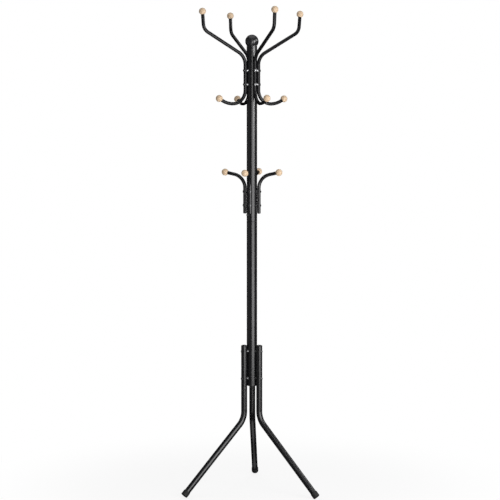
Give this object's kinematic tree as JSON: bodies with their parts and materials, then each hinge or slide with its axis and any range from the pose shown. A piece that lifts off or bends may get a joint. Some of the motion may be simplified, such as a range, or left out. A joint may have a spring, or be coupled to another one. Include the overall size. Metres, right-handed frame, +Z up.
{
  "type": "standing coat rack",
  "caption": "Freestanding coat rack: a round steel post on bent tube legs, with curved tube hooks in tiers, each ending in a turned wooden ball.",
  "frame": {"origin": "on the floor, at the centre of the whole rack's bounding box in plan; the post's axis stands 50 mm in front of it, at Y = -0.05 m", "axes": "+Z up along the post; +Y towards the rear leg; +X to the right seen from the front, which is the side away from the rear leg"},
  "size_m": [0.498, 0.4696, 1.7576],
  "materials": {
    "black_powder_coat": "semi-gloss black powder coat on steel tube",
    "turned_wood": "pale turned beech, thin clear lacquer",
    "black_plastic": "moulded black plastic, satin",
    "black_rubber": "moulded black rubber, matt",
    "zinc_plate": "bright zinc-plated steel"
  },
  "bodies": {
    "root": {"coat_ball_1": "turned_wood", "coat_ball_2": "turned_wood", "coat_ball_3": "turned_wood", "coat_ball_4": "turned_wood", "double_hook_1": "black_powder_coat", "double_hook_2": "black_powder_coat", "double_hook_3": "black_powder_coat", "double_hook_4": "black_powder_coat", "double_hook_rivet_nuts": "zinc_plate", "double_hook_saddles": "zinc_plate", "double_hook_screws_1": "zinc_plate", "double_hook_screws_2": "zinc_plate", "double_hook_screws_3": "zinc_plate", "double_hook_screws_4": "zinc_plate", "foot_cap_left": "black_rubber", "foot_cap_rear": "black_rubber", "foot_cap_right": "black_rubber", "hat_ball_1": "turned_wood", "hat_ball_2": "turned_wood", "hat_ball_3": "turned_wood", "hat_ball_4": "turned_wood", "leg_left": "black_powder_coat", "leg_rear": "black_powder_coat", "leg_right": "black_powder_coat", "leg_rivet_nuts": "zinc_plate", "leg_saddles": "zinc_plate", "leg_screws_left": "zinc_plate", "leg_screws_rear": "zinc_plate", "leg_screws_right": "zinc_plate", "leg_top_plug_left": "black_plastic", "leg_top_plug_rear": "black_plastic", "leg_top_plug_right": "black_plastic", "low_ball_1": "turned_wood", "low_ball_2": "turned_wood", "low_ball_3": "turned_wood", "low_ball_4": "turned_wood", "low_hook_1": "black_powder_coat", "low_hook_2": "black_powder_coat", "low_hook_3": "black_powder_coat", "low_hook_4": "black_powder_coat", "low_hook_plug_1": "black_plastic", "low_hook_plug_2": "black_plastic", "low_hook_plug_3": "black_plastic", "low_hook_plug_4": "black_plastic", "low_hook_rivet_nuts": "zinc_plate", "low_hook_saddles": "zinc_plate", "low_hook_screws_1": "zinc_plate", "low_hook_screws_2": "zinc_plate", "low_hook_screws_3": "zinc_plate", "low_hook_screws_4": "zinc_plate", "post_bottom_plug": "black_plastic", "post_cap": "black_plastic", "post_joint_nut": "zinc_plate", "post_joint_screw": "zinc_plate", "post_joint_sleeve": "zinc_plate", "post_lower_tube": "black_powder_coat", "post_upper_tube": "black_powder_coat"}
  },
  "joints": []
}
